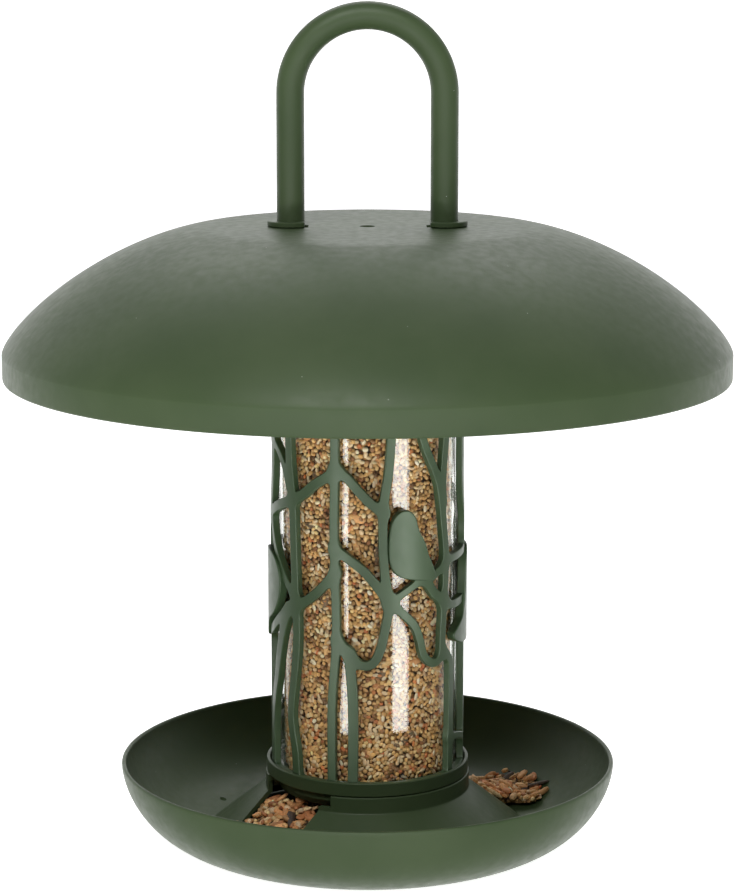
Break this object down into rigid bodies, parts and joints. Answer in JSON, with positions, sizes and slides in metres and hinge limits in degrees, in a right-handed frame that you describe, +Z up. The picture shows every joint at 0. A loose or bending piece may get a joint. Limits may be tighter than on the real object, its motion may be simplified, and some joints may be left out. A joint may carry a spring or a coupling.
{
  "type": "hanging seed feeder",
  "caption": "Hanging seed feeder: wide dome roof with a U handle, clear seed tube in an openwork branch sleeve, feed cone with two outlets, and a round tray.",
  "frame": {"origin": "centre of the tray's flat bottom", "axes": "+Z up along the silo's axis; the handle's arch stands in the XZ plane; -Y is the front; the front seed outlet points to -X -Y"},
  "size_m": [0.3, 0.3, 0.3518],
  "materials": {
    "green_plastic": "satin moulded plastic",
    "clear_plastic": "clear, glossy",
    "seed": "dry mixed grain"
  },
  "bodies": {
    "tray": {"tray": "green_plastic", "feed_cone": "green_plastic", "seed_spreader": "green_plastic", "seed_pile_front": "seed", "seed_pile_rear": "seed"},
    "silo": {"silo_collar": "green_plastic", "branch_sleeve": "green_plastic", "clear_tube": "clear_plastic", "seed_column": "seed", "top_ring": "green_plastic"},
    "roof": {"roof_dome": "green_plastic", "hanger_handle": "green_plastic"}
  },
  "joints": [
    {"name": "silo_turn", "type": "hinge", "parent": "tray", "child": "silo", "pos_m": [0, 0, 0.0305], "axis": [0, 0, 1], "range_deg": [0, 30]},
    {"name": "roof_lift", "type": "slide", "parent": "silo", "child": "roof", "axis": [0, 0, 1], "range_m": [0, 0.12]}
  ]
}
